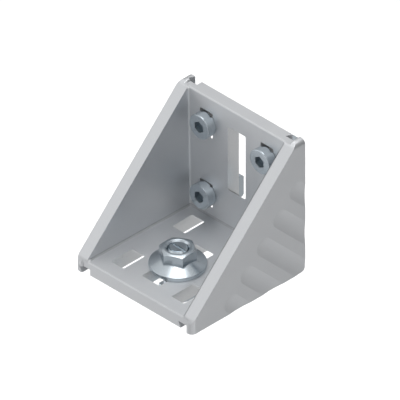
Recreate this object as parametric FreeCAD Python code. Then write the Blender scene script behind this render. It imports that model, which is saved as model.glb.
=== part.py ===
import FreeCAD, Part
import math
import os

# Corner bracket for slotted framing profile, with the bolt, nut, cap screws and slot nuts that fix it.
# Millimetres. X runs across the width, Y from the open front to the back plate, Z is up.
# The origin is the middle of the underside of the base plate, in its contact plane.
# The back plate is the mirror image of the base plate in the plane at 45 degrees that holds the
# inner corner, so everything in a plate is made once, in the base plate, and mirrored.

# Casting
bracket_width = 77.0
leg_length = 74.0
plate_thickness = 7.0
wall_thickness = 6.6
wall_draft_degrees = 1.4
foot_reach = 1.1
slope_round = 6.0
foot_round = 2.7
foot_inner_round = 1.0
heel_round = 2.0
inner_fillet = 1.0
plate_edge_round = 2.0

# Slots in the plates, measured from the free end of each plate
profile_pitch = 40.0
slot_width = 8.4
slot_setback = 15.1
outer_slot_length = 14.2
inner_slot_length = 13.2
slot_corner_round = 0.8
centre_slot_width = 11.8
centre_slot_setback = 28.1
centre_slot_length = 36.0

# Notches for the clips of a cover, between each foot and its plate, undercut on the side that faces right
notch_lip = 4.2
notch_mouth = 4.3
notch_undercut = 1.5
notch_depth = 3.2
notch_length = 10.0

# Shallow round-ended flutes on the outer sides
flute_count = 5
flute_pitch = 15.2
flute_width = 9.6
flute_depth = 0.6
flute_setback = 18.7

# Hammer-head bolt and flange nut of the base plate
bolt_diameter = 9.8
bolt_head_length = 15.6
bolt_head_width = 10.0
bolt_head_height = 5.0
bolt_neck_side = 9.6
bolt_neck_height = 3.0
bolt_end_chamfer = 1.4
bolt_end_slot_width = 1.3
bolt_end_slot_depth = 1.0
nut_across_flats = 16.1
nut_height = 10.6
nut_flange_diameter = 27.6
nut_flange_rim = 1.9
nut_cone_degrees = 28.0
nut_cone_overlap = 1.3
nut_crown_diameter = 13.2
nut_crown_degrees = 22.0
nut_mouth_chamfer = 1.0
nut_turn_degrees = 29.3

# Low-head cap screws of the back plate and their slot nuts
screw_diameter = 7.8
screw_head_diameter = 13.0
screw_head_height = 5.0
screw_head_chamfer = 0.5
socket_across_flats = 5.5
socket_depth = 2.8
slot_nut_length = 15.8
slot_nut_width = 12.2
slot_nut_thickness = 5.4
slot_nut_back_chamfer = 1.1
slot_nut_neck_width = 7.8
slot_nut_neck_height = 3.2
screw_end_recess = 0.8

# Depth of the profile's slot lips, which the bolt's head and the slot nuts grip from behind
profile_lip = 4.5

# Radial clearance of each thread in its nut
thread_clearance = 0.1

# Share of the width of a turning head or neck that each of its two rounded corners takes
turning_corner_share = 0.42

# Overshoot of cutting tools
over = 5.0

front = -leg_length / 2
back = leg_length / 2
half_width = bracket_width / 2
half_pitch = profile_pitch / 2
inner_back = back - plate_thickness
foot_front = front - foot_reach
lug_top = leg_length + foot_reach
mouth_half_width = half_width - wall_thickness
bolt_y = front + centre_slot_setback
root_two = math.sqrt(2)
draft = math.tan(math.radians(wall_draft_degrees))

vector = FreeCAD.Vector
up = vector(0, 0, 1)
across = vector(1, 0, 0)
into_corner = vector(0, 1 / root_two, -1 / root_two)
along_slope = vector(0, 1 / root_two, 1 / root_two)


def line(start, end):
    return Part.LineSegment(start, end).toShape()


def polygon_prism(points, sweep):
    """A prism from a closed list of corners, swept along a vector."""
    return Part.Face(Part.makePolygon(points + [points[0]])).extrude(sweep)


def mirrored_to_back(shape):
    """The image of a base plate feature in the back plate."""
    return shape.mirror(vector(0, back, 0), along_slope)


def box(x_low, x_high, y_low, y_high, z_low, z_high):
    return Part.makeBox(x_high - x_low, y_high - y_low, z_high - z_low, vector(x_low, y_low, z_low))


def hexagon_prism(across_flats, height, base, axis, turn_degrees):
    """A hexagonal prism whose first corner is turned from the local X axis."""
    radius = across_flats / math.sqrt(3)
    corners = []
    for side in range(6):
        angle = math.radians(turn_degrees + 60 * side)
        corners.append(vector(radius * math.cos(angle), radius * math.sin(angle), 0))
    prism = polygon_prism(corners, up * height)
    prism.Placement = FreeCAD.Placement(base, FreeCAD.Rotation(up, axis))
    return prism


def edges_where(shape, test):
    """The edges of a shape whose two ends both pass a test."""
    return [edge for edge in shape.Edges if all(test(vertex.Point) for vertex in edge.Vertexes)]


def near(value, target):
    return abs(value - target) < 1e-4


# Casting: outer form, hollow, slots, notches and flutes

def side_outline():
    """The side view of a wall: its feet reach past the plates' free ends and are rounded into the slope."""
    half_turn = math.radians(45) / 2
    trim = slope_round * math.tan(half_turn)
    diagonal = trim / root_two
    bow = slope_round * (1 / math.cos(half_turn) - 1)
    bow_y = bow * math.cos(half_turn)
    bow_z = bow * math.sin(half_turn)
    heel = heel_round * (1 - 1 / root_two)
    x = -half_width
    foot_top = vector(x, foot_front, plate_thickness - foot_reach)
    lug_front = vector(x, inner_back + foot_reach, lug_top)
    points = [
        vector(x, foot_front, 0),
        vector(x, back - heel_round, 0),
        vector(x, back - heel, heel),
        vector(x, back, heel_round),
        vector(x, back, lug_top),
        lug_front + vector(0, trim, 0),
        lug_front + vector(0, bow_z, -bow_y),
        lug_front - vector(0, diagonal, diagonal),
        foot_top + vector(0, diagonal, diagonal),
        foot_top + vector(0, bow_y, -bow_z),
        foot_top - vector(0, 0, trim),
    ]
    edges = [
        line(points[0], points[1]),
        Part.Arc(points[1], points[2], points[3]).toShape(),
        line(points[3], points[4]),
        line(points[4], points[5]),
        Part.Arc(points[5], points[6], points[7]).toShape(),
        line(points[7], points[8]),
        Part.Arc(points[8], points[9], points[10]).toShape(),
        line(points[10], points[0]),
    ]
    return Part.Face(Part.Wire(edges)).extrude(across * bracket_width)


def rounded_block():
    """The block that the side outline is cut from, rounded at the outer edges of the feet and lugs."""
    block = box(-half_width, half_width, foot_front, back, 0, lug_top)
    feet = edges_where(block, lambda p: near(abs(p.x), half_width) and near(p.y, foot_front))
    lugs = edges_where(block, lambda p: near(abs(p.x), half_width) and near(p.z, lug_top))
    corners = [edge for edge in feet + lugs if near(edge.BoundBox.XLength, 0)]
    return block.makeFillet(foot_round, corners)


def hollow_profile():
    """The side view of the hollow: the inner faces of both plates, rounded over at their free ends."""
    x = -half_width
    turn = plate_edge_round * (1 - 1 / root_two)
    points = [
        vector(x, front - over, -over),
        vector(x, front, -over),
        vector(x, front, plate_thickness - plate_edge_round),
        vector(x, front + turn, plate_thickness - turn),
        vector(x, front + plate_edge_round, plate_thickness),
        vector(x, inner_back, plate_thickness),
        vector(x, inner_back, leg_length - plate_edge_round),
        vector(x, inner_back + turn, leg_length - turn),
        vector(x, inner_back + plate_edge_round, leg_length),
        vector(x, back + over, leg_length),
        vector(x, back + over, leg_length + over),
        vector(x, front - over, leg_length + over),
    ]
    edges = [
        line(points[0], points[1]),
        line(points[1], points[2]),
        Part.Arc(points[2], points[3], points[4]).toShape(),
        line(points[4], points[5]),
        line(points[5], points[6]),
        Part.Arc(points[6], points[7], points[8]).toShape(),
        line(points[8], points[9]),
        line(points[9], points[10]),
        line(points[10], points[11]),
        line(points[11], points[0]),
    ]
    return Part.Face(Part.Wire(edges))


def hollow():
    """The space between the plates and the walls. Its sides draw in towards the inner corner."""
    slope_foot = vector(0, front, plate_thickness)
    narrowing = draft * leg_length
    outline = [
        (-mouth_half_width - narrowing, -leg_length),
        (mouth_half_width + narrowing, -leg_length),
        (mouth_half_width - narrowing, leg_length),
        (narrowing - mouth_half_width, leg_length),
    ]
    start = slope_foot - along_slope * leg_length
    corners = [start + across * x + into_corner * depth for x, depth in outline]
    wedge = polygon_prism(corners, along_slope * leg_length * 3)
    space = hollow_profile().extrude(across * bracket_width).common(wedge)
    seams = []
    for edge in space.Edges:
        bounds = edge.BoundBox
        on_floor = near(bounds.ZMax, plate_thickness) and near(bounds.ZMin, plate_thickness)
        on_back = near(bounds.YMin, inner_back) and near(bounds.YMax, inner_back)
        runs_across = near(bounds.YLength, 0) and near(bounds.ZLength, 0)
        if on_floor and on_back or (on_floor or on_back) and not runs_across:
            seams.append(edge)
    return space.makeFillet(inner_fillet, seams)


def foot_step():
    """The space between the feet, in front of the base plate's free end."""
    reach = half_width - notch_lip
    return box(-reach, reach, foot_front - over, front, -over, plate_thickness + over)


def inner_edges_rounded(block):
    """Rounds the ends of the feet and lugs on their inner sides too, as far as they stand out."""
    reach = half_width - notch_lip
    edges = [
        edge
        for edge in edges_where(block, lambda p: near(abs(p.x), reach))
        if near(edge.BoundBox.YMax, foot_front) or near(edge.BoundBox.ZMin, lug_top)
    ]
    return block.makeFillet(min(foot_inner_round, 0.9 * foot_reach), edges)


def slot_cutter(x, near_end, length, width):
    """A slot through the base plate. Its end wall nearer the inner corner leans out at 45 degrees."""
    y_near = front + near_end
    y_far = y_near + length
    outline = [
        vector(x - width / 2, y_near, -over),
        vector(x - width / 2, y_far + plate_thickness + over, -over),
        vector(x - width / 2, y_far - over, plate_thickness + over),
        vector(x - width / 2, y_near, plate_thickness + over),
    ]
    prism = polygon_prism(outline, across * width)
    uprights = [edge for edge in prism.Edges if not near(edge.BoundBox.ZLength, 0)]
    return prism.makeFillet(slot_corner_round, uprights)


def slot_places():
    """Distance from the free end to the near end wall, and length, of the two slots in a line."""
    outer = (slot_setback - outer_slot_length / 2, outer_slot_length)
    inner = (slot_setback + profile_pitch - inner_slot_length / 2, inner_slot_length)
    return [outer, inner]


def base_slots():
    cutters = [
        slot_cutter(x, near_end, length, slot_width)
        for x in (-half_pitch, half_pitch)
        for near_end, length in slot_places()
    ]
    centre_start = centre_slot_setback - centre_slot_length / 2
    cutters.append(slot_cutter(0, centre_start, centre_slot_length, centre_slot_width))
    return cutters


def clip_notch(side):
    """A notch in the underside, open at the free end. Side is 1 for the right, -1 for the left."""
    middle = side * (half_width - notch_lip - notch_mouth / 2)
    left = middle - notch_mouth / 2
    right = middle + notch_mouth / 2
    outline = [
        (left, -over),
        (left, 0),
        (left - notch_undercut, notch_depth),
        (right, notch_depth),
        (right, -over),
    ]
    corners = [vector(x, foot_front - over, z) for x, z in outline]
    return polygon_prism(corners, vector(0, foot_reach + notch_length + over, 0))


def flutes(side):
    """Round-bottomed grooves with a round end each, running down to the outer corner of the walls."""
    radius = (flute_width**2 / 4 + flute_depth**2) / (2 * flute_depth)
    slope_middle = (vector(0, front, plate_thickness) + vector(0, inner_back, leg_length)) / 2
    axis_x = side * (half_width + radius - flute_depth)
    cutters = []
    for number in range(flute_count):
        offset = (number - (flute_count - 1) / 2) * flute_pitch
        start = slope_middle + into_corner * flute_setback + along_slope * offset + across * axis_x
        groove = Part.makeCylinder(radius, leg_length, start, into_corner)
        cutters.append(groove.fuse(Part.makeSphere(radius, start)))
    return cutters


def bracket_body():
    block = rounded_block().common(side_outline()).cut([foot_step(), mirrored_to_back(foot_step())])
    block = inner_edges_rounded(block)
    base_features = base_slots() + [clip_notch(-1), clip_notch(1)]
    cutters = [hollow()] + base_features
    cutters += [mirrored_to_back(feature) for feature in base_features]
    cutters += flutes(-1) + flutes(1)
    for cutter in cutters:
        block = block.cut(cutter)
    return block.removeSplitter()


# Fasteners of the base plate

def hammer_block(length, width, height, z_low):
    """A block with two opposite upright corners rounded, so that it turns in a slot and stops across it."""
    block = box(-length / 2, length / 2, -width / 2, width / 2, z_low, z_low + height)
    rounded = edges_where(block, lambda p: p.x * p.y < 0)
    uprights = [edge for edge in rounded if not near(edge.BoundBox.ZLength, 0)]
    return block.makeFillet(turning_corner_share * width, uprights)


def hammer_bolt():
    """The bolt stands on its head behind the profile's lips, its end level with the top of the nut."""
    head_base = -profile_lip - bolt_head_height
    head = hammer_block(bolt_head_length, bolt_head_width, bolt_head_height, head_base)
    neck = hammer_block(bolt_neck_side, bolt_neck_side, bolt_neck_height, -profile_lip)
    end = plate_thickness + nut_height
    radius = bolt_diameter / 2
    shank = Part.makeCylinder(radius, end + profile_lip - bolt_end_chamfer, vector(0, 0, -profile_lip))
    tip_start = vector(0, 0, end - bolt_end_chamfer)
    tip = Part.makeCone(radius, radius - bolt_end_chamfer, bolt_end_chamfer, tip_start)
    mark_half_width = bolt_end_slot_width / 2
    mark_base = end - bolt_end_slot_depth
    mark = box(-bolt_diameter, bolt_diameter, -mark_half_width, mark_half_width, mark_base, end + over)
    bolt = head.fuse([neck, shank, tip]).cut(mark).removeSplitter()
    bolt.translate(vector(0, bolt_y, 0))
    return bolt


def turned(points, base):
    """A solid turned about the Z axis from a profile of radius and height pairs."""
    corners = [vector(radius, 0, height) for radius, height in points]
    profile = Part.Face(Part.makePolygon(corners + [corners[0]]))
    solid = profile.revolve(vector(0, 0, 0), up, 360)
    solid.translate(base)
    return solid


def flange_nut():
    """A hexagon nut whose washer face spreads in a cone to a flange."""
    seat = vector(0, bolt_y, plate_thickness)
    flange_radius = nut_flange_diameter / 2
    slope = math.tan(math.radians(nut_cone_degrees))
    cone_top_radius = nut_across_flats / 2 - nut_cone_overlap
    cone_top = nut_flange_rim + (flange_radius - cone_top_radius) * slope
    flange_profile = [
        (0, 0),
        (flange_radius, 0),
        (flange_radius, nut_flange_rim),
        (cone_top_radius, cone_top),
        (0, cone_top),
    ]
    flange = turned(flange_profile, seat)
    hexagon = hexagon_prism(nut_across_flats, nut_height, seat, up, nut_turn_degrees)
    crown_radius = nut_crown_diameter / 2
    reach = nut_across_flats
    crown_foot = nut_height - (reach - crown_radius) * math.tan(math.radians(nut_crown_degrees))
    crown_profile = [
        (0, 0),
        (reach, 0),
        (reach, crown_foot),
        (crown_radius, nut_height),
        (0, nut_height),
    ]
    crown = turned(crown_profile, seat)
    bore_radius = bolt_diameter / 2 + thread_clearance
    mouth_radius = bore_radius + nut_mouth_chamfer
    bore_profile = [
        (0, -over),
        (bore_radius, -over),
        (bore_radius, nut_height - nut_mouth_chamfer),
        (mouth_radius, nut_height),
        (mouth_radius, nut_height + over),
        (0, nut_height + over),
    ]
    bore = turned(bore_profile, seat)
    return flange.fuse(hexagon.common(crown)).cut(bore).removeSplitter()


# Fasteners of the back plate, made along Z with the screw head's seat at z = 0, then set in place

def cap_screw():
    head = Part.makeCylinder(screw_head_diameter / 2, screw_head_height)
    rim = [edge for edge in head.Edges if near(edge.BoundBox.ZMin, screw_head_height)]
    head = head.makeChamfer(screw_head_chamfer, rim)
    radius = screw_diameter / 2
    length = plate_thickness + profile_lip + slot_nut_thickness - screw_end_recess
    shank = Part.makeCylinder(radius, length, vector(0, 0, -length))
    socket_base = vector(0, 0, screw_head_height - socket_depth)
    socket = hexagon_prism(socket_across_flats, socket_depth + over, socket_base, up, 30)
    return head.fuse(shank).cut(socket).removeSplitter()


def slot_nut():
    """A hammer nut turned across its slot: wings behind the slot's lips and a neck between them."""
    wing_front = -plate_thickness - profile_lip
    half_length = slot_nut_length / 2
    half_height = slot_nut_width / 2
    wing_back = wing_front - slot_nut_thickness
    wings = box(-half_length, half_length, -half_height, half_height, wing_back, wing_front)
    back_edges = edges_where(wings, lambda p: near(p.z, wing_back))
    long_edges = [edge for edge in back_edges if near(edge.BoundBox.YLength, 0)]
    wings = wings.makeChamfer(slot_nut_back_chamfer, long_edges)
    neck = hammer_block(slot_nut_neck_width, slot_nut_neck_width, slot_nut_neck_height, wing_front)
    bore_radius = screw_diameter / 2 + thread_clearance
    bore = Part.makeCylinder(bore_radius, leg_length, vector(0, 0, -leg_length))
    return wings.fuse(neck).cut(bore).removeSplitter()


def set_in_back_plate(shape, x, z):
    """Turns a fastener's axis to point out of the back plate, towards the open front, and seats it."""
    seat = FreeCAD.Placement(vector(x, inner_back, z), FreeCAD.Rotation(across, 90))
    placed = shape.copy()
    placed.Placement = seat.multiply(placed.Placement)
    return placed


def main():
    os.makedirs("parts", exist_ok=True)
    parts = {
        "bracket_body": bracket_body(),
        "hammer_bolt": hammer_bolt(),
        "flange_nut": flange_nut(),
    }
    rows = {"upper": leg_length - slot_setback, "lower": leg_length - slot_setback - profile_pitch}
    columns = {"left": -half_pitch, "right": half_pitch}
    for row, z in rows.items():
        for column, x in columns.items():
            parts[f"cap_screw_{row}_{column}"] = set_in_back_plate(cap_screw(), x, z)
            parts[f"slot_nut_{row}_{column}"] = set_in_back_plate(slot_nut(), x, z)
    for name, shape in parts.items():
        shape.exportStep(f"parts/{name}.step")
        print(name, len(shape.Solids), round(shape.Volume, 1), shape.isValid())


main()
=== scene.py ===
# %% [markdown]
# # A die-cast corner bracket for slotted framing, with its bolt, nut and screws
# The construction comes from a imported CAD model, which is loaded here as a fixed frame.
# Everything in this lesson is about looks: rounding the edges that a caster leaves round,
# cutting threads, and giving the blasted aluminium and the zinc-plated steel their finish.
# Lengths are in metres, and X runs across the bracket, Y from its open front to its back plate,
# and Z up.

# %% Load the frame
import math

import bpy
from mathutils import Matrix, Vector


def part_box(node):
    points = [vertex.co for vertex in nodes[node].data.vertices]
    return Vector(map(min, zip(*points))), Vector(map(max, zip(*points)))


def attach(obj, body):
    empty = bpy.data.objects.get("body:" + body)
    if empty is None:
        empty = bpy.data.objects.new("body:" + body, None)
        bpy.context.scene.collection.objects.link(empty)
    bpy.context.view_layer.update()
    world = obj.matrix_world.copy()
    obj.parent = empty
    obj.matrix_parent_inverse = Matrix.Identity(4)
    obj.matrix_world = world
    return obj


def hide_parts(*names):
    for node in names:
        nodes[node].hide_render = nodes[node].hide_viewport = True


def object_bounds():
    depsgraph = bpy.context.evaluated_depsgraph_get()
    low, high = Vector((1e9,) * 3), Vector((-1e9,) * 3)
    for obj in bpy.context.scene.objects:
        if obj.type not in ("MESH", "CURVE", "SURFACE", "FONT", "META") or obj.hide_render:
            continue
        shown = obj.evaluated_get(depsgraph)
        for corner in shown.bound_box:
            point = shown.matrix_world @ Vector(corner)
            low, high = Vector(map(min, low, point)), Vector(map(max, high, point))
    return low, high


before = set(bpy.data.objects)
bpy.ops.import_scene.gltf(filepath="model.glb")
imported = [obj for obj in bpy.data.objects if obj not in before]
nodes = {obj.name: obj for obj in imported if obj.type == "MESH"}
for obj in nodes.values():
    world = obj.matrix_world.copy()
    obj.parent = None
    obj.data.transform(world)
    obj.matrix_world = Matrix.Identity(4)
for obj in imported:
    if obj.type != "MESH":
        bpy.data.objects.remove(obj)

MM = 0.001
cad_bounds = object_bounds()
print("nodes:", ", ".join(sorted(nodes)))

# %% [markdown]
# ## The camera
# The photograph is a catalogue view: a true isometric with no perspective, where edges along X,
# Y and Z are equally foreshortened. An orthographic camera on the corner diagonal gives exactly
# that. Its place follows from one scale, in pixels to the millimetre, and from the pixel where
# the part's origin falls.

# %% Place the camera
PHOTO_SIDE = 400
PIXELS_PER_MM = 2.1397
ORIGIN_PIXEL = (191.3, 269.5)
CAMERA_DISTANCE = 600 * MM

toward_camera = Vector((1, -1, 1)).normalized()
screen_right = Vector((1, 1, 0)).normalized()
screen_up = toward_camera.cross(screen_right)

right_of_origin = (PHOTO_SIDE / 2 - ORIGIN_PIXEL[0]) / PIXELS_PER_MM * MM
above_origin = (ORIGIN_PIXEL[1] - PHOTO_SIDE / 2) / PIXELS_PER_MM * MM
target = screen_right * right_of_origin + screen_up * above_origin

camera_data = bpy.data.cameras.new("catalogue_camera")
camera_data.type = "ORTHO"
camera_data.ortho_scale = PHOTO_SIDE / PIXELS_PER_MM * MM
camera = bpy.data.objects.new("catalogue_camera", camera_data)
bpy.context.scene.collection.objects.link(camera)
camera.location = target + toward_camera * CAMERA_DISTANCE
camera.rotation_euler = toward_camera.to_track_quat("Z", "Y").to_euler()
bpy.context.scene.camera = camera
print(f"the view is {camera_data.ortho_scale / MM:.1f} mm wide")

# %% [markdown]
# ## Helpers for materials
# Colours are written as the hex values that a screen shows, so one function turns them to the
# linear values that the renderer works in. A second one adds a shader node with its settings and
# links.

# %% Material helpers
def colour(hex_code):
    """The linear colour of an sRGB hex code, with full alpha."""
    linear = []
    for start in (1, 3, 5):
        screen = int(hex_code[start:start + 2], 16) / 255
        linear.append(screen / 12.92 if screen <= 0.04045 else ((screen + 0.055) / 1.055) ** 2.4)
    return (*linear, 1.0)


def add_node(tree, kind, settings=None, **links):
    """Adds a node. Settings are its own properties. Links name its inputs, each with a value or
    another node's output, and i6 is the seventh input of a node that gives several one name."""
    node = tree.nodes.new(kind)
    for name, value in (settings or {}).items():
        setattr(node, name, value)
    for name, value in links.items():
        by_number = name[0] == "i" and name[1:].isdigit()
        socket = node.inputs[int(name[1:]) if by_number else name.replace("_", " ")]
        if isinstance(value, bpy.types.NodeSocket):
            tree.links.new(value, socket)
        else:
            socket.default_value = value
    return node


def new_material(name):
    """An empty material and its node tree."""
    material = bpy.data.materials.new(name)
    material.use_nodes = True
    material.node_tree.nodes.clear()
    return material, material.node_tree


print(f"#808080 is {colour('#808080')[0]:.3f} in linear light")

# %% [markdown]
# ## A recipe for metals
# All the metals on the bracket are made alike. A slow noise drifts between two near tones, and
# between two degrees of gloss where the finish varies in that too. Where the grain of the finish
# is coarse enough to see, a fine noise lifts it as a bump. The noises read Object coordinates,
# so they stay with the piece, and their scales are real sizes on the metal.

# %% A recipe for metals
def metal_finish(name, clouds, tones, roughness, detail=3.0, grain=None):
    """A metal. Clouds is the size of its drifts, and grain a bump's size, strength and depth."""
    material, tree = new_material(name)
    place = add_node(tree, "ShaderNodeTexCoord").outputs["Object"]
    drift = add_node(tree, "ShaderNodeTexNoise", Vector=place, Scale=1 / clouds, Detail=detail)
    share = drift.outputs["Fac"]
    tone = add_node(tree, "ShaderNodeMix", {"data_type": "RGBA"}, Factor=share,
                    i6=colour(tones[0]), i7=colour(tones[1]))
    looks = {"Base_Color": tone.outputs["Result"], "Roughness": roughness}
    if isinstance(roughness, tuple):
        low, high = roughness
        gloss = add_node(tree, "ShaderNodeMapRange", Value=share, To_Min=low, To_Max=high)
        looks["Roughness"] = gloss.outputs["Result"]
    if grain:
        size, strength, depth = grain
        grit = add_node(tree, "ShaderNodeTexNoise", Vector=place, Scale=1 / size, Detail=2.0)
        bump = add_node(tree, "ShaderNodeBump", Strength=strength, Distance=depth,
                        Height=grit.outputs["Fac"])
        looks["Normal"] = bump.outputs["Normal"]
    surface = add_node(tree, "ShaderNodeBsdfPrincipled", Metallic=1.0, **looks)
    add_node(tree, "ShaderNodeOutputMaterial", Surface=surface.outputs["BSDF"])
    print(f"{name}: drifts over {clouds / MM:.1f} mm between {tones[0]} and {tones[1]}")
    return material


# %% [markdown]
# ## Blasted die-cast aluminium
# The bracket is cast under pressure in a steel die, trimmed, and blasted with fine shot to an
# even matt grey. What the eye gets is a metal with no clear reflections: faces that each keep
# one tone, which depends on what part of the room they face. So the shader is fully metallic
# with a high roughness. The grain of the shot is finer than a pixel, so it is drawn coarser, at
# about a third of a millimetre. The drift adds the faint clouding of tone and of gloss that a
# cast skin has.

# %% Blasted aluminium
ALUMINIUM_GRAIN = 0.35 * MM
ALUMINIUM_CLOUDS = 9 * MM
ALUMINIUM_GRAIN_DEPTH = 0.05 * MM

aluminium = metal_finish(
    "blasted_die_cast_aluminium", clouds=ALUMINIUM_CLOUDS, tones=("#D9DBDE", "#DFE1E3"),
    roughness=(0.47, 0.55), grain=(ALUMINIUM_GRAIN, 0.12, ALUMINIUM_GRAIN_DEPTH))

# %% [markdown]
# The narrow seams round the floor of the bracket get a darker and duller aluminium. The darker
# colour is painted shade: it stands for the shadow in those concave corners, and the eye gets a
# quiet darker line where the floor ends, as in the photograph.

# %% Painted shade in the seams
# A darker colour painted into the seams as shade.
seam_painted_shade = metal_finish(
    "painted_shade_in_seams", clouds=ALUMINIUM_CLOUDS, tones=("#BDBFC2", "#C4C6C8"),
    roughness=0.65)

# %% [markdown]
# The slots are trimmed after blasting, so their walls are bare aluminium with a smoother finish.
# They mirror what lies behind the bracket more clearly than the matt skin does. Their colour is
# also set lighter than that of the plates. That is painted light, which lifts the walls out of the
# shade inside the slots so that they read lighter than the plates round them. The marks of the
# trimming tool are all the pattern they have, so the drift is as fine as those.

# %% Trimmed aluminium in the slots, with painted light
TRIM_MARKS = 0.3 * MM

# A smoother finish, and a lighter colour painted as light on the slot walls.
slot_walls_painted_light = metal_finish(
    "trimmed_aluminium_painted_light", clouds=TRIM_MARKS, tones=("#E2E4E6", "#E8EAEB"),
    roughness=(0.24, 0.34), detail=2.0)

# %% [markdown]
# ## Bright zinc plate
# The bolt, nut and screws are steel with a bright zinc plate a few thousandths of a millimetre
# thick, passivated clear, which gives it a cold blue cast. It mirrors the softboxes with a
# slightly milky edge, so its roughness is low but not nil, and the plate's fine pits break the
# reflection up a little.

# %% Zinc plate
ZINC_PITS = 0.5 * MM
ZINC_CLOUDS = 3 * MM
ZINC_PIT_DEPTH = 0.03 * MM

zinc = metal_finish(
    "bright_zinc_plate_on_steel", clouds=ZINC_CLOUDS, tones=("#C0CAD1", "#C8D0D6"),
    roughness=(0.17, 0.25), grain=(ZINC_PITS, 0.08, ZINC_PIT_DEPTH))

# %% [markdown]
# In a deep narrow recess the plating current is weak, so the zinc there is thin and dull, which a
# higher roughness gives. The sockets of the screws also get a darker colour, which is painted
# shade so that they read as dark holes. They get a darker and rougher variant.

# %% Dull zinc with painted shade in the sockets
# A rougher zinc, with a darker colour painted in as shade.
socket_zinc_painted_shade = metal_finish(
    "dull_zinc_painted_shade_in_sockets", clouds=ZINC_CLOUDS, tones=("#98A3AB", "#A4AFB6"),
    roughness=0.55)

# %% [markdown]
# ## Working on one piece at a time
# Operators act on all that is selected, so a piece is picked out alone before each step. Edges
# are then chosen in two moves, as by hand: Blender selects all that are sharp, and code drops
# those that the real part leaves sharp too.

# %% Selection
SHARP = math.radians(40)


def select_only(piece):
    bpy.ops.object.select_all(action="DESELECT")
    piece.select_set(True)
    bpy.context.view_layer.objects.active = piece


def round_sharp_edges(piece, width, leave_sharp=None):
    """Bevels the sharp edges of a piece, but for those whose middle passes the test."""
    select_only(piece)
    bpy.ops.object.mode_set(mode="EDIT")
    bpy.ops.mesh.select_mode(type="EDGE")
    bpy.ops.mesh.select_all(action="DESELECT")
    bpy.ops.mesh.edges_select_sharp(sharpness=SHARP)
    bpy.ops.object.mode_set(mode="OBJECT")
    mesh = piece.data
    for edge in mesh.edges:
        middle = (mesh.vertices[edge.vertices[0]].co + mesh.vertices[edge.vertices[1]].co) / 2
        if edge.select and leave_sharp and leave_sharp(middle):
            edge.select = False
    chosen = sum(edge.select for edge in mesh.edges)
    bpy.ops.object.mode_set(mode="EDIT")
    bpy.ops.mesh.bevel(offset=width, segments=2, affect="EDGES", clamp_overlap=False)
    bpy.ops.object.mode_set(mode="OBJECT")
    print(f"{piece.name}: {chosen} edges rounded to {width / MM:.2f} mm")


print(f"an edge counts as sharp from {math.degrees(SHARP):.0f} degrees")

# %% [markdown]
# ## Skins over the CAD
# A CAD mesh is loose triangles that can't be shaded smooth. A copy has its doubles merged and
# its flat facets joined, so that fillets shade as curves. Weighted normals then let each large
# flat face keep its own direction right up to its rounded edges, which is how machined and cast
# metal looks.

# %% Copying a node and finishing a piece
SAME_PLACE = 0.001 * MM
SAME_PLANE = math.radians(0.2)


def merged_copy(node_name, piece_name):
    """A copy of a CAD node with its doubles merged and its flat facets joined."""
    mesh = nodes[node_name].data.copy()
    mesh.name = piece_name
    mesh.materials.clear()
    piece = bpy.data.objects.new(piece_name, mesh)
    bpy.context.scene.collection.objects.link(piece)
    select_only(piece)
    bpy.ops.object.mode_set(mode="EDIT")
    bpy.ops.mesh.select_all(action="SELECT")
    bpy.ops.mesh.remove_doubles(threshold=SAME_PLACE)
    bpy.ops.mesh.dissolve_limited(angle_limit=SAME_PLANE)
    bpy.ops.object.mode_set(mode="OBJECT")
    print(f"{piece_name}: {len(piece.data.polygons)} faces once merged")
    return piece


def finish(piece, material, node_name):
    """Shades a piece, gives a bare one its material, and lets it stand for a CAD node."""
    select_only(piece)
    bpy.ops.object.shade_smooth_by_angle(angle=SHARP)
    weighted = piece.modifiers.new("flat_faces_stay_flat", "WEIGHTED_NORMAL")
    weighted.keep_sharp = True
    bpy.ops.object.modifier_apply(modifier=weighted.name)
    if not piece.data.materials:
        piece.data.materials.append(material)
    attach(piece, "root")
    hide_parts(node_name)


# %% [markdown]
# ## The casting
# The casting keeps the shape that the CAD gives it and is finished like a real one, step by
# step. Edges, faces and vertices are chosen by their place, so a few lengths of the casting are
# named first. The slots are all that lies near the middle of a plate, away from its free end.

# %% Copy the casting
ON_FACE = 0.005 * MM
PLATE_LENGTH = 74 * MM
PLATE_THICKNESS = 7 * MM
WALL_REACH = 6 * MM
SLOT_REACH = 28 * MM
SLOT_SETBACK = 3 * MM

casting = merged_copy("bracket_body", "casting")
casting_low, casting_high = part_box("bracket_body")
plate_top = PLATE_LENGTH
plate_front = -PLATE_LENGTH / 2
inner_back = casting_high.y - PLATE_THICKNESS
inner_floor = PLATE_THICKNESS
inner_reach = casting_high.x - WALL_REACH


def on_a_slot(place):
    behind_the_front = place.y > casting_low.y + SLOT_SETBACK
    below_the_top = place.z < casting_high.z - SLOT_SETBACK
    return abs(place.x) < SLOT_REACH and behind_the_front and below_the_top


# %% [markdown]
# The flutes run out at the outer corner. There they are made shallower by a share of their
# depth, so that the outline of the bracket stays nearly straight, as in the photograph.

# %% Let the flutes run out
FLUTE_DEPTH = 0.6 * MM
RUN_OUT = 0.3
HEEL_ROUND = 2 * MM
FLUTES_END = 60 * MM


def on_the_outer_corner(place):
    on_back, on_base = place.y > casting_high.y - ON_FACE, place.z < ON_FACE
    on_heel = place.y > casting_high.y - HEEL_ROUND - ON_FACE and place.z < HEEL_ROUND + ON_FACE
    near_flutes = place.z < FLUTES_END and place.y > casting_high.y - FLUTES_END
    return near_flutes and (on_back or on_base or on_heel)


raised = 0
for vertex in casting.data.vertices:
    depth = casting_high.x - abs(vertex.co.x)
    if ON_FACE < depth < FLUTE_DEPTH + ON_FACE and on_the_outer_corner(vertex.co):
        vertex.co.x += math.copysign(depth * RUN_OUT, vertex.co.x)
        raised += 1
print("vertices at the ends of the flutes raised:", raised)

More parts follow.
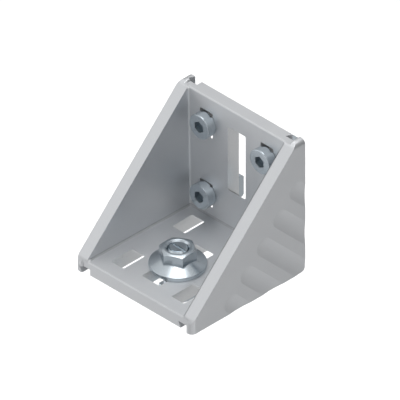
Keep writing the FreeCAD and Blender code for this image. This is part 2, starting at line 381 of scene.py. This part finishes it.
# %% [markdown]
# A die leaves every outer edge with a radius of a few tenths of a millimetre, and the slots are
# trimmed clean. So the outline of the walls and plates is rounded and the rims of the slots stay
# sharp. The lips of the notches end in corners with too little room for a bevel, and they stay
# sharp too.

# %% Round the outer edges
CASTING_EDGE = 0.2 * MM
NOTCH_LIP = 4.2 * MM
NOTCH_CORNER = 0.5 * MM
NOTCH_SETBACK = 1.5 * MM


def left_sharp(place):
    """The slots, and the corner where a notch's lip runs into the foot or lug beside it."""
    by_the_lip = abs(place.x + casting_high.x - NOTCH_LIP) < NOTCH_CORNER
    at_a_free_end = place.y < plate_front + ON_FACE or place.z > plate_top - NOTCH_SETBACK
    return on_a_slot(place) or (by_the_lip and at_a_free_end)


round_sharp_edges(casting, CASTING_EDGE, leave_sharp=left_sharp)

# %% [markdown]
# The cores that form the slots have draft, so that they pull out of the casting. Each slot
# narrows a little from the inner face of its plate to the contact face, and the rims on the
# contact face are drawn in for that from both sides.

# %% Draw in the rims of the slots
SLOT_DRAFT = 0.4 * MM
HALF_PITCH = 20 * MM
SLOT_HALF_WIDTH = 6.5 * MM


def draw_in_rims(on_contact_face, middle):
    """Moves the rim vertices of the slots about one middle line towards it."""
    moved = 0
    for vertex in casting.data.vertices:
        if on_contact_face(vertex.co) and abs(vertex.co.x - middle) < SLOT_HALF_WIDTH:
            vertex.co.x -= math.copysign(SLOT_DRAFT, vertex.co.x - middle)
            moved += 1
    print(f"{moved} rim vertices drawn in about x = {middle / MM:.0f} mm")


def on_base_rim(place):
    return abs(place.z) < ON_FACE and on_a_slot(place)


def on_back_rim(place):
    on_contact_face = abs(place.y - casting_high.y) < ON_FACE
    return on_contact_face and on_a_slot(place) and place.z > SLOT_SETBACK


for middle in (-HALF_PITCH, 0, HALF_PITCH):
    draw_in_rims(on_base_rim, middle)
draw_in_rims(on_back_rim, 0)

# %% [markdown]
# The photograph shows a clear line, with a fine light rim above it, where the free end of each
# plate meets the inner face. The CAD has a quarter round there, which would shade as a soft
# blur. So the vertices of that round are moved out to the corner, and leave only a small chamfer
# on it.

# %% Sharpen the free ends of the plates
END_ROUND = 2 * MM
END_CHAMFER = 0.5 * MM


def chamfer_drop(run):
    """How far the chamfer has dropped at a run across the round. It takes only the last part."""
    return min(max(run - (END_ROUND - END_CHAMFER), 0.0), END_CHAMFER)


def near_back_round(place):
    low, high = inner_back - END_ROUND, inner_back + END_ROUND
    below_the_top = plate_top - END_ROUND - ON_FACE < place.z < plate_top - ON_FACE
    return below_the_top and low < place.y < high - ON_FACE


def near_base_round(place):
    low, high = inner_floor - END_ROUND, inner_floor + END_ROUND
    behind_the_front = plate_front + ON_FACE < place.y < plate_front + END_ROUND + ON_FACE
    return behind_the_front and low + ON_FACE < place.z < high


moved = 0
for vertex in casting.data.vertices:
    place = vertex.co
    if abs(place.x) > inner_reach:
        continue
    if near_back_round(place):
        place.z = plate_top - chamfer_drop(inner_back + END_ROUND - place.y)
        moved += 1
    elif near_base_round(place):
        place.y = plate_front + chamfer_drop(place.z - inner_floor + END_ROUND)
        moved += 1
print("vertices of the plates' free ends moved:", moved)

# %% [markdown]
# The flutes meet the outer faces at only 14 degrees, less than the step from facet to facet of a
# small fillet. Smooth shading would blur their outlines, so the edges that lie in the outer
# faces are marked sharp by hand before the piece is shaded, and so are the lines where the
# plates' end chamfers stop.

# %% Keep the flutes crisp
FLUTE_SHARP = math.radians(8)


def in_an_outer_face(edge):
    ends = [casting.data.vertices[number].co.x for number in edge.vertices]
    return all(abs(abs(x) - casting_high.x) < ON_FACE for x in ends)


def on_an_end_line(edge):
    """Whether an edge lies where the chamfer of a plate's free end meets its inner face."""
    ends = [casting.data.vertices[number].co for number in edge.vertices]
    lowest = plate_top - chamfer_drop(END_ROUND)
    foremost = plate_front + chamfer_drop(END_ROUND)
    on_back = all(math.hypot(p.y - inner_back, p.z - lowest) < ON_FACE for p in ends)
    on_base = all(math.hypot(p.z - inner_floor, p.y - foremost) < ON_FACE for p in ends)
    return on_back or on_base


select_only(casting)
bpy.ops.object.mode_set(mode="EDIT")
bpy.ops.mesh.select_all(action="DESELECT")
bpy.ops.mesh.edges_select_sharp(sharpness=FLUTE_SHARP)
bpy.ops.object.mode_set(mode="OBJECT")
for edge in casting.data.edges:
    edge.select = edge.select and (in_an_outer_face(edge) or on_an_end_line(edge))
print("edges kept crisp:", sum(edge.select for edge in casting.data.edges))
bpy.ops.object.mode_set(mode="EDIT")
bpy.ops.mesh.mark_sharp()
bpy.ops.object.mode_set(mode="OBJECT")
finish(casting, aluminium, "bracket_body")

# %% [markdown]
# Two sets of small faces get other materials. The tilted ones just above the floor of the bracket
# are its seams, and they get the painted shade. Those whose middle lies inside a plate are the
# walls of the slots, and they get the smoother aluminium with painted light.

# %% Give the seams their painted shade and the slots their painted light
SEAM_RADIUS = 1 * MM
SEAM_TILT = (0.1, 0.99)
WELL_INSIDE = 0.3 * MM

casting.data.materials.append(seam_painted_shade)
casting.data.materials.append(slot_walls_painted_light)


def in_a_seam(face):
    place = face.center
    tilted = SEAM_TILT[0] < face.normal.z < SEAM_TILT[1]
    just_above = inner_floor < place.z < inner_floor + SEAM_RADIUS
    over_the_floor = plate_front + END_ROUND < place.y < inner_back
    return tilted and just_above and over_the_floor and abs(place.x) < inner_reach


def in_a_slot(face):
    place = face.center
    in_base = WELL_INSIDE < place.z < inner_floor - WELL_INSIDE
    in_back = inner_back + WELL_INSIDE < place.y < casting_high.y - WELL_INSIDE
    return on_a_slot(place) and (in_base or in_back)


# Seam faces take the painted shade, and slot walls take the lighter colour painted as light.
for face in casting.data.polygons:
    if in_a_seam(face):
        face.material_index = 1
    elif in_a_slot(face):
        face.material_index = 2
finishes = [face.material_index for face in casting.data.polygons]
print("seam faces:", finishes.count(1), "slot faces:", finishes.count(2))

# %% [markdown]
# ## Nuts
# The flange nut and the four slot nuts have the shape that the CAD gives them, and only need the
# small radius that forging and tumbling leave on their edges.

# %% Round the nuts' edges
NUT_EDGE = 0.2 * MM

for name in sorted(nodes):
    if "nut" in name:
        nut = merged_copy(name, "plated_" + name)
        round_sharp_edges(nut, NUT_EDGE)
        finish(nut, zinc, name)

# %% [markdown]
# ## Cutting, carving and joining
# The fasteners are put together as by hand from a few moves. A bisect cuts a piece square and
# closes the cut, a Boolean takes a cutter's volume out of it, and a join makes one object of
# two.

# %% Cut, carve and join
def cut_off(piece, height, keep_below):
    """Cuts a piece square to Z and closes the cut."""
    select_only(piece)
    bpy.ops.object.mode_set(mode="EDIT")
    bpy.ops.mesh.select_all(action="SELECT")
    bpy.ops.mesh.bisect(plane_co=(0, 0, height), plane_no=(0, 0, 1), use_fill=True,
                        clear_outer=keep_below, clear_inner=not keep_below)
    bpy.ops.object.mode_set(mode="OBJECT")


def carve(piece, cutter):
    """Takes the cutter's volume out of a piece."""
    select_only(piece)
    cut = piece.modifiers.new("carve", "BOOLEAN")
    cut.operation = "DIFFERENCE"
    cut.solver = "EXACT"
    cut.object = cutter
    bpy.ops.object.modifier_apply(modifier="carve")
    bpy.data.objects.remove(cutter)
    print(f"{piece.name}: carved, {len(piece.data.polygons)} faces")


def join_pieces(main, other):
    """Makes one object of two, under the first one's name."""
    select_only(main)
    other.select_set(True)
    bpy.ops.object.join()
    print(f"{main.name}: joined, {len(main.data.polygons)} faces")


# %% [markdown]
# ## Threads
# A rolled metric thread is a ridge with flanks at 60 degrees that climbs by one pitch in each
# turn. Five points draw one turn of its outline, from root to crest and back. They come from a
# circle, whose one edge that would close the outline is deleted.

# %% Draw one turn of a thread
THREAD_DEPTH = 0.6134
THREAD_FLANK = THREAD_DEPTH * math.tan(math.radians(30))
THREAD_CREST = 1 / 8
TURNS_BELOW = 2


def one_turn(name, radius, pitch, low):
    """The outline of one turn as a chain of edges. It starts some turns below the rod's end."""
    root = radius - THREAD_DEPTH * pitch
    crest_end = THREAD_FLANK + THREAD_CREST
    outline = [
        (root, 0), (radius, THREAD_FLANK), (radius, crest_end), (root, crest_end + THREAD_FLANK),
        (root, 1),
    ]
    bpy.ops.object.select_all(action="DESELECT")
    bpy.ops.mesh.primitive_circle_add(vertices=len(outline), radius=radius)
    rod = bpy.context.object
    rod.name = name
    for vertex, (reach, turn) in zip(rod.data.vertices, outline):
        vertex.co = (reach, 0, low + (turn - TURNS_BELOW) * pitch)
    for edge in rod.data.edges:
        edge.select = set(edge.vertices) == {0, len(outline) - 1}
    bpy.ops.object.mode_set(mode="EDIT")
    bpy.ops.mesh.select_mode(type="EDGE")
    bpy.ops.mesh.delete(type="EDGE")
    bpy.ops.object.mode_set(mode="OBJECT")
    return rod


print(f"a flank takes {THREAD_FLANK:.3f} of a pitch and the crest {THREAD_CREST:.3f}")

# %% [markdown]
# The Screw modifier sweeps that turn round and up. Neighbouring turns share a point, so merging
# doubles makes one skin of them. The rod is then cut off square at both ends, and its tip is
# drawn in to the chamfer that helps a thread to start.

# %% Roll a thread
THREAD_STEPS = 40


def draw_in_tip(rod, radius, high, chamfer):
    """Draws the vertices near the tip of a rod in to a cone."""
    for vertex in rod.data.vertices:
        reach = math.hypot(vertex.co.x, vertex.co.y)
        limit = radius - max(0, vertex.co.z - (high - chamfer))
        if reach > limit:
            vertex.co.x *= limit / reach
            vertex.co.y *= limit / reach


def threaded_rod(name, radius, pitch, low, high, chamfer):
    """A rod along Z with a right-hand thread, chamfered at its upper end."""
    rod = one_turn(name, radius, pitch, low)
    sweep = rod.modifiers.new("thread", "SCREW")
    sweep.screw_offset = pitch
    sweep.iterations = math.ceil((high - low) / pitch) + TURNS_BELOW + 1
    sweep.steps = sweep.render_steps = THREAD_STEPS
    bpy.ops.object.modifier_apply(modifier="thread")
    bpy.ops.object.mode_set(mode="EDIT")
    bpy.ops.mesh.select_all(action="SELECT")
    bpy.ops.mesh.remove_doubles(threshold=SAME_PLACE)
    bpy.ops.object.mode_set(mode="OBJECT")
    cut_off(rod, high, keep_below=True)
    cut_off(rod, low, keep_below=False)
    draw_in_tip(rod, radius, high, chamfer)
    bpy.ops.object.mode_set(mode="EDIT")
    bpy.ops.mesh.select_all(action="SELECT")
    bpy.ops.mesh.normals_make_consistent(inside=False)
    bpy.ops.object.mode_set(mode="OBJECT")
    print(f"{name}: {(high - low) / pitch:.1f} turns, {len(rod.data.polygons)} faces")
    return rod


# %% [markdown]
# ## The hammer bolt
# The bolt's head hooks behind the lips of a profile's slot, and a mark across its end shows from
# above how the hidden head lies. The head and neck are forged, so they keep the CAD's shape with
# rounder edges. The shank is cut away above the neck and a threaded rod takes its place.

# %% Make the hammer bolt
BOLT_RADIUS = 4.9 * MM
BOLT_PITCH = 1.5 * MM
BOLT_CHAMFER = 1.0 * MM
BOLT_NECK_TOP = -1.5 * MM
BOLT_SUNK = 0.5 * MM
BOLT_EDGE = 0.35 * MM
MARK_WIDTH = 1.3 * MM
MARK_DEPTH = 1.0 * MM
MARK_LENGTH = 4 * BOLT_RADIUS

bolt_low, bolt_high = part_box("hammer_bolt")
bolt_middle = (bolt_low + bolt_high) / 2
bolt = merged_copy("hammer_bolt", "plated_hammer_bolt")
cut_off(bolt, BOLT_NECK_TOP, keep_below=True)
round_sharp_edges(bolt, BOLT_EDGE)

rod = threaded_rod("bolt_thread", BOLT_RADIUS, BOLT_PITCH, low=BOLT_NECK_TOP - BOLT_SUNK,
                   high=bolt_high.z, chamfer=BOLT_CHAMFER)
bpy.ops.object.select_all(action="DESELECT")
bpy.ops.mesh.primitive_cube_add(size=1, location=(0, 0, bolt_high.z))
mark = bpy.context.object
mark.data.transform(Matrix.Diagonal((MARK_LENGTH, MARK_WIDTH, 2 * MARK_DEPTH, 1)))
carve(rod, mark)
rod.data.transform(Matrix.Translation((bolt_middle.x, bolt_middle.y, 0)))
join_pieces(bolt, rod)
finish(bolt, zinc, "hammer_bolt")

# %% [markdown]
# ## The cap screws
# Four alike low-head screws with a hexagon socket hold the back plate. One is made along Z as the
# pattern for all: a turned head with its rim rounded, the socket carved out of it and given the
# darker zinc with painted shade, and a threaded rod below.

# %% Make one cap screw
HEAD_RADIUS = 6.5 * MM
HEAD_HEIGHT = 5.0 * MM
HEAD_RIM = 0.45 * MM
HEAD_SIDES = 72
SOCKET_ACROSS = 5.5 * MM
SOCKET_DEPTH = 2.8 * MM
SCREW_RADIUS = 3.9 * MM
SCREW_PITCH = 1.25 * MM
SCREW_CHAMFER = 0.8 * MM
SCREW_SUNK = 1.0 * MM

first_low, first_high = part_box("cap_screw_upper_left")
screw_length = first_high.y - first_low.y - HEAD_HEIGHT

bpy.ops.object.select_all(action="DESELECT")
bpy.ops.mesh.primitive_cylinder_add(vertices=HEAD_SIDES, radius=HEAD_RADIUS, depth=HEAD_HEIGHT)
screw = bpy.context.object
screw.name = "cap_screw_pattern"
screw.data.transform(Matrix.Translation(screw.location + Vector((0, 0, HEAD_HEIGHT / 2))))
round_sharp_edges(screw, HEAD_RIM)

bpy.ops.object.select_all(action="DESELECT")
bpy.ops.mesh.primitive_cylinder_add(vertices=6, radius=SOCKET_ACROSS / math.sqrt(3),
                                    depth=2 * SOCKET_DEPTH)
socket = bpy.context.object
socket.data.transform(Matrix.Translation((0, 0, HEAD_HEIGHT)))
carve(screw, socket)

screw.data.materials.append(zinc)
screw.data.materials.append(socket_zinc_painted_shade)
# The faces of the socket take the darker zinc: painted shade in the hole.
for face in screw.data.polygons:
    beside = math.hypot(face.center.x, face.center.y)
    if beside < SOCKET_ACROSS / 2 + ON_FACE and 0 < face.center.z < HEAD_HEIGHT - ON_FACE:
        face.material_index = 1
print("faces in the socket:", sum(face.material_index for face in screw.data.polygons))

rod = threaded_rod("screw_thread", SCREW_RADIUS, SCREW_PITCH, low=-SCREW_SUNK,
                   high=screw_length, chamfer=SCREW_CHAMFER)
rod.data.transform(Matrix.Rotation(math.pi, 4, "X"))
join_pieces(screw, rod)

# %% [markdown]
# Each screw is a copy of the pattern with a mesh of its own. It is turned a quarter round X, so
# that its head looks out of the open front, and its seat comes from the box of the CAD screw
# that it stands for.

# %% Set the four cap screws
face_out_front = Matrix.Rotation(math.radians(90), 4, "X")

for name in sorted(nodes):
    if name.startswith("cap_screw"):
        low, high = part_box(name)
        seat = Vector(((low.x + high.x) / 2, low.y + HEAD_HEIGHT, (low.z + high.z) / 2))
        piece = bpy.data.objects.new("plated_" + name, screw.data.copy())
        bpy.context.scene.collection.objects.link(piece)
        piece.data.transform(Matrix.Translation(seat) @ face_out_front)
        finish(piece, zinc, name)
        print(f"{piece.name}: seated {seat.z / MM:.1f} mm up")
bpy.data.objects.remove(screw)

# %% [markdown]
# ## The floor
# In the photograph the bracket floats in pure white and throws no shadow. So the floor lies well
# below it, and a spot lamp of its own lights the patch behind the bracket that the camera looks
# at. Its cone passes beside the bracket, so the metal sees little of that light and keeps its
# contrast.

# %% Lay the floor and light it
FLOOR_DROP = 800 * MM
FLOOR_SIZE = 8.0
POOL_OFFSET = 800 * MM
POOL_HEIGHT = 1200 * MM
POOL_WATTS = 140
POOL_CONE = math.radians(16)
POOL_BLEND = 0.2
POOL_LAMP = 50 * MM

floor_height = cad_bounds[0].z - FLOOR_DROP
bpy.ops.object.select_all(action="DESELECT")
bpy.ops.mesh.primitive_plane_add(size=FLOOR_SIZE, location=(0, 0, floor_height))
floor = bpy.context.object
floor.name = "studio_floor"
floor_material, tree = new_material("matt_white_studio_paper")
surface = add_node(tree, "ShaderNodeBsdfPrincipled", Roughness=0.9, Base_Color=colour("#EDEDED"),
                   Specular_IOR_Level=0.0)
add_node(tree, "ShaderNodeOutputMaterial", Surface=surface.outputs["BSDF"])
floor.data.materials.append(floor_material)


def aim_lamp(name, light, place, aim):
    """Hangs a lamp at a place and points it."""
    lamp = bpy.data.objects.new(name, light)
    bpy.context.scene.collection.objects.link(lamp)
    lamp.location = place
    lamp.rotation_euler = (Vector(place) - Vector(aim)).to_track_quat("Z", "Y").to_euler()
    return lamp


pool = bpy.data.lights.new("floor_pool", "SPOT")
pool.energy = POOL_WATTS
pool.spot_size = POOL_CONE
pool.spot_blend = POOL_BLEND
pool.shadow_soft_size = POOL_LAMP
pool_spot = (-POOL_OFFSET, POOL_OFFSET)
aim_lamp("floor_pool", pool, (*pool_spot, POOL_HEIGHT), (*pool_spot, floor_height))
print(f"the floor lies {FLOOR_DROP / MM:.0f} mm below the bracket")

# %% [markdown]
# ## The room and the softboxes
# Matt metal shows in each face the part of the room that the face mirrors to the camera,
# blurred. The slopes and tops are light, so the room is bright overhead and to the left. The
# outer right wall is mid grey and darkens inside its flutes, which face the back, so little
# comes from behind. The room is a white tent that fades from its bright crown to black below.

# %% Light the room
TENT_CROWN = Vector((-0.30, -0.27, 0.915)).normalized()
TENT_STRENGTH = 0.83
TENT_FALLOFF = 2.0

world = bpy.data.worlds.new("studio_tent")
bpy.context.scene.world = world
world.use_nodes = True
tree = world.node_tree
direction = add_node(tree, "ShaderNodeTexCoord").outputs["Generated"]
toward_crown = add_node(tree, "ShaderNodeVectorMath", {"operation": "DOT_PRODUCT"},
                        i0=direction, i1=TENT_CROWN)
share = add_node(tree, "ShaderNodeMapRange", Value=toward_crown.outputs["Value"], From_Min=-1.0)
fade = add_node(tree, "ShaderNodeMath", {"operation": "POWER"},
                i0=share.outputs["Result"], i1=TENT_FALLOFF)
glow = add_node(tree, "ShaderNodeMath", {"operation": "MULTIPLY"},
                i0=fade.outputs["Value"], i1=TENT_STRENGTH)
tree.links.new(glow.outputs["Value"], tree.nodes["Background"].inputs["Strength"])
tree.nodes["Background"].inputs["Color"].default_value = colour("#FFFFFF")
print(f"the tent glows at {TENT_STRENGTH} at its crown")

# %% [markdown]
# Softboxes fill in what each face needs. They are round and all aim at the middle of the
# bracket, each from where one kind of face mirrors it to the camera. The one at the zenith is
# small and strong: it is the white flash on the cone of the nut.

# %% Hang the softboxes
SOFTBOX_DISTANCE = 700 * MM
SOFTBOX_SIZE = 420 * MM
SOFTBOX_AIM = Vector((0, 0, 35 * MM))


def softbox(name, azimuth, elevation, radiance, size=SOFTBOX_SIZE):
    """A round softbox. Azimuth is in degrees from +X towards +Y. Radiance is 1 for plain white."""
    light = bpy.data.lights.new(name, "AREA")
    light.shape = "DISK"
    light.size = size
    light.energy = radiance * (math.pi * size / 2) ** 2
    around, up = math.radians(azimuth), math.radians(elevation)
    level = Vector((math.cos(around), math.sin(around), 0)) * math.cos(up)
    away = level + Vector((0, 0, math.sin(up)))
    return aim_lamp(name, light, SOFTBOX_AIM + away * SOFTBOX_DISTANCE, SOFTBOX_AIM)


softbox("zenith", azimuth=0, elevation=90, radiance=1.3, size=300 * MM)
softbox("zenith_wide", azimuth=135, elevation=82, radiance=1.2, size=500 * MM)
softbox("front_left", azimuth=-135, elevation=28, radiance=0.47)
softbox("front_left_low", azimuth=-135, elevation=-20, radiance=0.75)
softbox("front_right", azimuth=-60, elevation=20, radiance=0.53, size=320 * MM)
softbox("front_right_low", azimuth=-45, elevation=-20, radiance=0.43)
softbox("front_right_high", azimuth=-45, elevation=45, radiance=0.6)
softbox("right", azimuth=-15, elevation=20, radiance=0.63)
softbox("right_low", azimuth=0, elevation=-20, radiance=0.78)
softbox("right_high", azimuth=-5, elevation=50, radiance=0.55)
softbox("back_high", azimuth=90, elevation=60, radiance=0.1)
softbox("back_left_high", azimuth=135, elevation=50, radiance=0.24)
softbox("below", azimuth=-90, elevation=-75, radiance=0.45)
print("lamps:", len(bpy.data.lights))

# %% [markdown]
# ## Finish
# White has to come out as pure white, so the plain screen transform is used.

# %% Finish
view = bpy.context.scene.view_settings
view.view_transform = "Standard"
view.look = "None"
